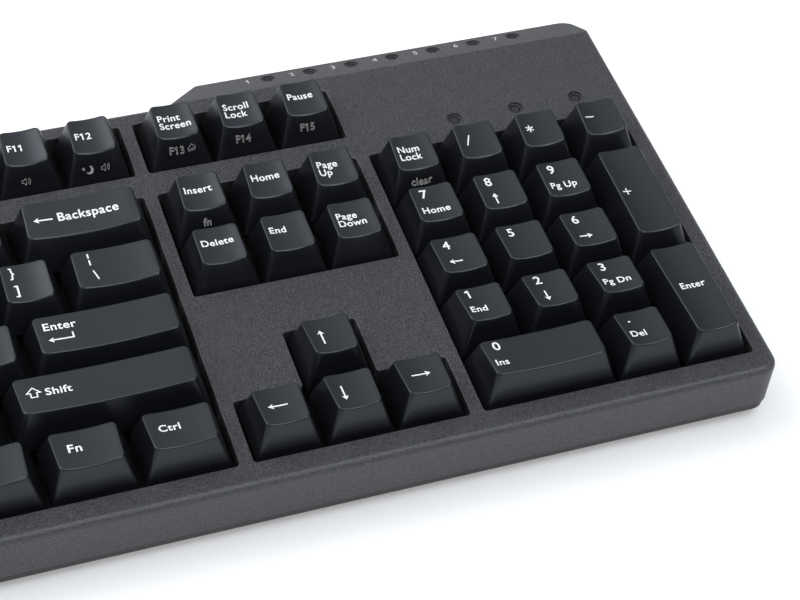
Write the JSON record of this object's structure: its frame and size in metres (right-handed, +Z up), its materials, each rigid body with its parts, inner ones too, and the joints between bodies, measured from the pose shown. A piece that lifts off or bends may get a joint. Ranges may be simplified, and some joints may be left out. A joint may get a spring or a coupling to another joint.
{
  "type": "mechanical keyboard",
  "caption": "Full-size mechanical computer keyboard with sculpted keycaps that travel, a slim-bordered case, a battery hump at the rear, a sliding battery door and fold-out feet.",
  "frame": {"origin": "centre of the footprint at desk level", "axes": "+X to the user's right along the long side, +Y away from the user, +Z up; feet folded, keys up"},
  "size_m": [0.44, 0.148, 0.0387],
  "materials": {
    "case_shell": "matte",
    "case_tray": "matte",
    "keycap": "satin",
    "plate_steel": "matte",
    "board": "satin",
    "switch_housing": "satin",
    "spring_steel": "polished",
    "clip_plastic": "matte",
    "lamp_clear": "gloss",
    "switch_knob": "matte",
    "socket_metal": "satin",
    "cell_wrap": "gloss",
    "pad_rubber": "matte",
    "screw_steel": "satin"
  },
  "bodies": {
    "case": {"battery_cells": "cell_wrap", "battery_contacts": "spring_steel", "bottom_case": "case_tray", "case_screws": "screw_steel", "circuit_board": "board", "indicator_lamps": "lamp_clear", "rubber_pads": "pad_rubber", "stabilizer_clips": "clip_plastic", "stabilizer_wires": "spring_steel", "status_board": "board", "switch_bases": "switch_housing", "switch_covers": "switch_housing", "switch_plate": "plate_steel", "switch_springs": "spring_steel", "top_case": "case_shell", "usb_socket": "socket_metal"},
    "backslash_key": {"backslash_key": "keycap"},
    "backspace_key": {"backspace_key": "keycap"},
    "bottom_row_keys": {"bottom_row_keys": "keycap"},
    "delete_key": {"delete_key": "keycap"},
    "down_arrow_key": {"down_arrow_key": "keycap"},
    "end_key": {"end_key": "keycap"},
    "enter_key": {"enter_key": "keycap"},
    "function_keys": {"function_keys": "keycap"},
    "home_key": {"home_key": "keycap"},
    "home_row_keys": {"home_row_keys": "keycap"},
    "insert_key": {"insert_key": "keycap"},
    "left_arrow_key": {"left_arrow_key": "keycap"},
    "num_lock_key": {"num_lock_key": "keycap"},
    "number_row_keys": {"number_row_keys": "keycap"},
    "pad_0_key": {"pad_0_key": "keycap"},
    "pad_1_key": {"pad_1_key": "keycap"},
    "pad_2_key": {"pad_2_key": "keycap"},
    "pad_3_key": {"pad_3_key": "keycap"},
    "pad_4_key": {"pad_4_key": "keycap"},
    "pad_5_key": {"pad_5_key": "keycap"},
    "pad_6_key": {"pad_6_key": "keycap"},
    "pad_7_key": {"pad_7_key": "keycap"},
    "pad_8_key": {"pad_8_key": "keycap"},
    "pad_9_key": {"pad_9_key": "keycap"},
    "pad_divide_key": {"pad_divide_key": "keycap"},
    "pad_enter_key": {"pad_enter_key": "keycap"},
    "pad_minus_key": {"pad_minus_key": "keycap"},
    "pad_multiply_key": {"pad_multiply_key": "keycap"},
    "pad_plus_key": {"pad_plus_key": "keycap"},
    "pad_point_key": {"pad_point_key": "keycap"},
    "page_down_key": {"page_down_key": "keycap"},
    "page_up_key": {"page_up_key": "keycap"},
    "pause_key": {"pause_key": "keycap"},
    "print_screen_key": {"print_screen_key": "keycap"},
    "right_arrow_key": {"right_arrow_key": "keycap"},
    "right_shift_key": {"right_shift_key": "keycap"},
    "scroll_lock_key": {"scroll_lock_key": "keycap"},
    "shift_row_keys": {"shift_row_keys": "keycap"},
    "tab_row_keys": {"tab_row_keys": "keycap"},
    "up_arrow_key": {"up_arrow_key": "keycap"},
    "foot_left": {"foot_left": "case_tray"},
    "foot_right": {"foot_right": "case_tray"},
    "battery_door": {"battery_door": "case_tray"},
    "power_switch": {"power_switch": "switch_knob"}
  },
  "joints": [
    {"name": "backslash_press", "type": "slide", "parent": "case", "child": "backslash_key", "axis": [0, 0.0732, -0.9973], "range_m": [0, 0.004], "stiffness_N_per_m": 75, "springref_m": -0.004, "deforming": ["switch_springs"]},
    {"name": "backspace_press", "type": "slide", "parent": "case", "child": "backspace_key", "axis": [0, 0.0732, -0.9973], "range_m": [0, 0.004], "stiffness_N_per_m": 75, "springref_m": -0.004, "deforming": ["switch_springs", "stabilizer_wires"]},
    {"name": "bottom_row_press", "type": "slide", "parent": "case", "child": "bottom_row_keys", "axis": [0, 0.0732, -0.9973], "range_m": [0, 0.004], "stiffness_N_per_m": 600, "springref_m": -0.004, "deforming": ["switch_springs", "stabilizer_wires"]},
    {"name": "delete_press", "type": "slide", "parent": "case", "child": "delete_key", "axis": [0, 0.0732, -0.9973], "range_m": [0, 0.004], "stiffness_N_per_m": 75, "springref_m": -0.004, "deforming": ["switch_springs"]},
    {"name": "down_arrow_press", "type": "slide", "parent": "case", "child": "down_arrow_key", "axis": [0, 0.0732, -0.9973], "range_m": [0, 0.004], "stiffness_N_per_m": 75, "springref_m": -0.004, "deforming": ["switch_springs"]},
    {"name": "end_press", "type": "slide", "parent": "case", "child": "end_key", "axis": [0, 0.0732, -0.9973], "range_m": [0, 0.004], "stiffness_N_per_m": 75, "springref_m": -0.004, "deforming": ["switch_springs"]},
    {"name": "enter_press", "type": "slide", "parent": "case", "child": "enter_key", "axis": [0, 0.0732, -0.9973], "range_m": [0, 0.004], "stiffness_N_per_m": 75, "springref_m": -0.004, "deforming": ["switch_springs", "stabilizer_wires"]},
    {"name": "function_press", "type": "slide", "parent": "case", "child": "function_keys", "axis": [0, 0.0732, -0.9973], "range_m": [0, 0.004], "stiffness_N_per_m": 975, "springref_m": -0.004, "deforming": ["switch_springs"]},
    {"name": "home_press", "type": "slide", "parent": "case", "child": "home_key", "axis": [0, 0.0732, -0.9973], "range_m": [0, 0.004], "stiffness_N_per_m": 75, "springref_m": -0.004, "deforming": ["switch_springs"]},
    {"name": "home_row_press", "type": "slide", "parent": "case", "child": "home_row_keys", "axis": [0, 0.0732, -0.9973], "range_m": [0, 0.004], "stiffness_N_per_m": 900, "springref_m": -0.004, "deforming": ["switch_springs"]},
    {"name": "insert_press", "type": "slide", "parent": "case", "child": "insert_key", "axis": [0, 0.0732, -0.9973], "range_m": [0, 0.004], "stiffness_N_per_m": 75, "springref_m": -0.004, "deforming": ["switch_springs"]},
    {"name": "left_arrow_press", "type": "slide", "parent": "case", "child": "left_arrow_key", "axis": [0, 0.0732, -0.9973], "range_m": [0, 0.004], "stiffness_N_per_m": 75, "springref_m": -0.004, "deforming": ["switch_springs"]},
    {"name": "num_lock_press", "type": "slide", "parent": "case", "child": "num_lock_key", "axis": [0, 0.0732, -0.9973], "range_m": [0, 0.004], "stiffness_N_per_m": 75, "springref_m": -0.004, "deforming": ["switch_springs"]},
    {"name": "number_row_press", "type": "slide", "parent": "case", "child": "number_row_keys", "axis": [0, 0.0732, -0.9973], "range_m": [0, 0.004], "stiffness_N_per_m": 975, "springref_m": -0.004, "deforming": ["switch_springs"]},
    {"name": "pad_0_press", "type": "slide", "parent": "case", "child": "pad_0_key", "axis": [0, 0.0732, -0.9973], "range_m": [0, 0.004], "stiffness_N_per_m": 75, "springref_m": -0.004, "deforming": ["switch_springs", "stabilizer_wires"]},
    {"name": "pad_1_press", "type": "slide", "parent": "case", "child": "pad_1_key", "axis": [0, 0.0732, -0.9973], "range_m": [0, 0.004], "stiffness_N_per_m": 75, "springref_m": -0.004, "deforming": ["switch_springs"]},
    {"name": "pad_2_press", "type": "slide", "parent": "case", "child": "pad_2_key", "axis": [0, 0.0732, -0.9973], "range_m": [0, 0.004], "stiffness_N_per_m": 75, "springref_m": -0.004, "deforming": ["switch_springs"]},
    {"name": "pad_3_press", "type": "slide", "parent": "case", "child": "pad_3_key", "axis": [0, 0.0732, -0.9973], "range_m": [0, 0.004], "stiffness_N_per_m": 75, "springref_m": -0.004, "deforming": ["switch_springs"]},
    {"name": "pad_4_press", "type": "slide", "parent": "case", "child": "pad_4_key", "axis": [0, 0.0732, -0.9973], "range_m": [0, 0.004], "stiffness_N_per_m": 75, "springref_m": -0.004, "deforming": ["switch_springs"]},
    {"name": "pad_5_press", "type": "slide", "parent": "case", "child": "pad_5_key", "axis": [0, 0.0732, -0.9973], "range_m": [0, 0.004], "stiffness_N_per_m": 75, "springref_m": -0.004, "deforming": ["switch_springs"]},
    {"name": "pad_6_press", "type": "slide", "parent": "case", "child": "pad_6_key", "axis": [0, 0.0732, -0.9973], "range_m": [0, 0.004], "stiffness_N_per_m": 75, "springref_m": -0.004, "deforming": ["switch_springs"]},
    {"name": "pad_7_press", "type": "slide", "parent": "case", "child": "pad_7_key", "axis": [0, 0.0732, -0.9973], "range_m": [0, 0.004], "stiffness_N_per_m": 75, "springref_m": -0.004, "deforming": ["switch_springs"]},
    {"name": "pad_8_press", "type": "slide", "parent": "case", "child": "pad_8_key", "axis": [0, 0.0732, -0.9973], "range_m": [0, 0.004], "stiffness_N_per_m": 75, "springref_m": -0.004, "deforming": ["switch_springs"]},
    {"name": "pad_9_press", "type": "slide", "parent": "case", "child": "pad_9_key", "axis": [0, 0.0732, -0.9973], "range_m": [0, 0.004], "stiffness_N_per_m": 75, "springref_m": -0.004, "deforming": ["switch_springs"]},
    {"name": "pad_divide_press", "type": "slide", "parent": "case", "child": "pad_divide_key", "axis": [0, 0.0732, -0.9973], "range_m": [0, 0.004], "stiffness_N_per_m": 75, "springref_m": -0.004, "deforming": ["switch_springs"]},
    {"name": "pad_enter_press", "type": "slide", "parent": "case", "child": "pad_enter_key", "axis": [0, 0.0732, -0.9973], "range_m": [0, 0.004], "stiffness_N_per_m": 75, "springref_m": -0.004, "deforming": ["switch_springs", "stabilizer_wires"]},
    {"name": "pad_minus_press", "type": "slide", "parent": "case", "child": "pad_minus_key", "axis": [0, 0.0732, -0.9973], "range_m": [0, 0.004], "stiffness_N_per_m": 75, "springref_m": -0.004, "deforming": ["switch_springs"]},
    {"name": "pad_multiply_press", "type": "slide", "parent": "case", "child": "pad_multiply_key", "axis": [0, 0.0732, -0.9973], "range_m": [0, 0.004], "stiffness_N_per_m": 75, "springref_m": -0.004, "deforming": ["switch_springs"]},
    {"name": "pad_plus_press", "type": "slide", "parent": "case", "child": "pad_plus_key", "axis": [0, 0.0732, -0.9973], "range_m": [0, 0.004], "stiffness_N_per_m": 75, "springref_m": -0.004, "deforming": ["switch_springs", "stabilizer_wires"]},
    {"name": "pad_point_press", "type": "slide", "parent": "case", "child": "pad_point_key", "axis": [0, 0.0732, -0.9973], "range_m": [0, 0.004], "stiffness_N_per_m": 75, "springref_m": -0.004, "deforming": ["switch_springs"]},
    {"name": "page_down_press", "type": "slide", "parent": "case", "child": "page_down_key", "axis": [0, 0.0732, -0.9973], "range_m": [0, 0.004], "stiffness_N_per_m": 75, "springref_m": -0.004, "deforming": ["switch_springs"]},
    {"name": "page_up_press", "type": "slide", "parent": "case", "child": "page_up_key", "axis": [0, 0.0732, -0.9973], "range_m": [0, 0.004], "stiffness_N_per_m": 75, "springref_m": -0.004, "deforming": ["switch_springs"]},
    {"name": "pause_press", "type": "slide", "parent": "case", "child": "pause_key", "axis": [0, 0.0732, -0.9973], "range_m": [0, 0.004], "stiffness_N_per_m": 75, "springref_m": -0.004, "deforming": ["switch_springs"]},
    {"name": "print_screen_press", "type": "slide", "parent": "case", "child": "print_screen_key", "axis": [0, 0.0732, -0.9973], "range_m": [0, 0.004], "stiffness_N_per_m": 75, "springref_m": -0.004, "deforming": ["switch_springs"]},
    {"name": "right_arrow_press", "type": "slide", "parent": "case", "child": "right_arrow_key", "axis": [0, 0.0732, -0.9973], "range_m": [0, 0.004], "stiffness_N_per_m": 75, "springref_m": -0.004, "deforming": ["switch_springs"]},
    {"name": "right_shift_press", "type": "slide", "parent": "case", "child": "right_shift_key", "axis": [0, 0.0732, -0.9973], "range_m": [0, 0.004], "stiffness_N_per_m": 75, "springref_m": -0.004, "deforming": ["switch_springs", "stabilizer_wires"]},
    {"name": "scroll_lock_press", "type": "slide", "parent": "case", "child": "scroll_lock_key", "axis": [0, 0.0732, -0.9973], "range_m": [0, 0.004], "stiffness_N_per_m": 75, "springref_m": -0.004, "deforming": ["switch_springs"]},
    {"name": "shift_row_press", "type": "slide", "parent": "case", "child": "shift_row_keys", "axis": [0, 0.0732, -0.9973], "range_m": [0, 0.004], "stiffness_N_per_m": 825, "springref_m": -0.004, "deforming": ["switch_springs", "stabilizer_wires"]},
    {"name": "tab_row_press", "type": "slide", "parent": "case", "child": "tab_row_keys", "axis": [0, 0.0732, -0.9973], "range_m": [0, 0.004], "stiffness_N_per_m": 975, "springref_m": -0.004, "deforming": ["switch_springs"]},
    {"name": "up_arrow_press", "type": "slide", "parent": "case", "child": "up_arrow_key", "axis": [0, 0.0732, -0.9973], "range_m": [0, 0.004], "stiffness_N_per_m": 75, "springref_m": -0.004, "deforming": ["switch_springs"]},
    {"name": "foot_left_fold", "type": "hinge", "parent": "case", "child": "foot_left", "pos_m": [-0.185, 0.049, 0.0056], "axis": [1, 0, 0], "range_deg": [0, 100]},
    {"name": "foot_right_fold", "type": "hinge", "parent": "case", "child": "foot_right", "pos_m": [0.185, 0.049, 0.0056], "axis": [1, 0, 0], "range_deg": [0, 100]},
    {"name": "battery_door_slide", "type": "slide", "parent": "case", "child": "battery_door", "axis": [0, 1, 0], "range_m": [0, 0.018]},
    {"name": "power_switch_slide", "type": "slide", "parent": "case", "child": "power_switch", "axis": [1, 0, 0], "range_m": [0, 0.003]}
  ]
}
